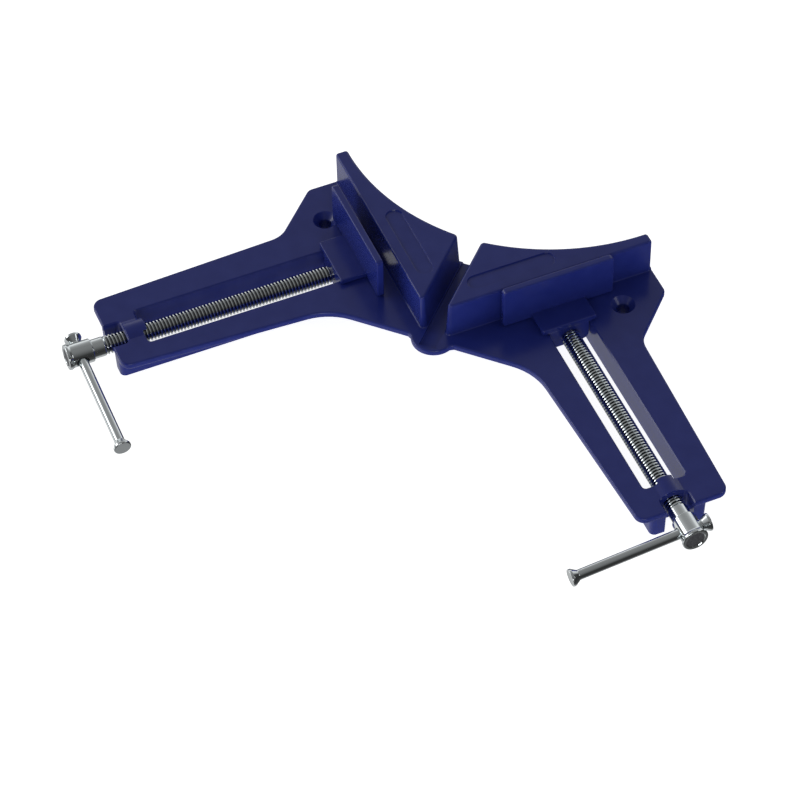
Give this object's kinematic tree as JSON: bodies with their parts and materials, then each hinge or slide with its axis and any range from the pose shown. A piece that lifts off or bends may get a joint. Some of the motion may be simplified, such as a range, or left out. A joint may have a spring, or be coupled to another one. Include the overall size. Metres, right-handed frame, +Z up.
{
  "type": "corner clamp",
  "caption": "Corner clamp for right-angle joints: a cast base with fixed jaws and a saw slot, and moving jaws on lead screws with sliding tommy bars.",
  "frame": {"origin": "on the bench under the centre rib, 30 mm behind the corner where the faces of the two fixed jaws would meet", "axes": "+Z up from the bench, +Y back along the saw slot, +X to the right arm; the arms run out at 45 degrees towards -Y"},
  "size_m": [0.35, 0.2111, 0.0422],
  "materials": {
    "blue_enamel": "gloss dark blue enamel on cast iron",
    "jaw_enamel": "gloss dark blue enamel on cast iron",
    "bright_screw_steel": "bright plated steel",
    "bright_bar_steel": "bright plated steel",
    "bright_cap_steel": "bright plated steel",
    "pin_steel": "plain steel"
  },
  "bodies": {
    "clamp": {"clamp_body": "blue_enamel"},
    "right_jaw": {"right_moving_jaw": "jaw_enamel", "right_retaining_pin": "pin_steel"},
    "right_screw": {"right_lead_screw": "bright_screw_steel"},
    "right_bar": {"right_tommy_bar": "bright_bar_steel", "right_bar_cap": "bright_cap_steel"},
    "left_jaw": {"left_moving_jaw": "jaw_enamel", "left_retaining_pin": "pin_steel"},
    "left_screw": {"left_lead_screw": "bright_screw_steel"},
    "left_bar": {"left_tommy_bar": "bright_bar_steel", "left_bar_cap": "bright_cap_steel"}
  },
  "joints": [
    {"name": "right_jaw_slide", "type": "slide", "parent": "clamp", "child": "right_jaw", "axis": [0.7071, -0.7071, 0], "range_m": [-0.00183, 0.10525]},
    {"name": "right_screw_spin", "type": "hinge", "parent": "right_jaw", "child": "right_screw", "pos_m": [0.16214, -0.09343, 0.0106], "axis": [-0.7071, 0.7071, 0], "range_deg": [-20880, 360]},
    {"name": "right_bar_slide", "type": "slide", "parent": "right_screw", "child": "right_bar", "axis": [0.7043, 0.7043, 0.0888], "range_m": [0, 0.053]},
    {"name": "left_jaw_slide", "type": "slide", "parent": "clamp", "child": "left_jaw", "axis": [-0.7071, -0.7071, 0], "range_m": [-0.00728, 0.09981]},
    {"name": "left_screw_spin", "type": "hinge", "parent": "left_jaw", "child": "left_screw", "pos_m": [-0.16638, -0.09767, 0.0106], "axis": [0.7071, 0.7071, 0], "range_deg": [-19800, 1440]},
    {"name": "left_bar_slide", "type": "slide", "parent": "left_screw", "child": "left_bar", "axis": [-0.7043, 0.7043, 0.0888], "range_m": [0, 0.053]}
  ],
  "couplings": [
    {"joint": "right_jaw_slide", "follows": "right_screw_spin", "m_per_rad": -0.00028875},
    {"joint": "left_jaw_slide", "follows": "left_screw_spin", "m_per_rad": -0.00028875}
  ]
}
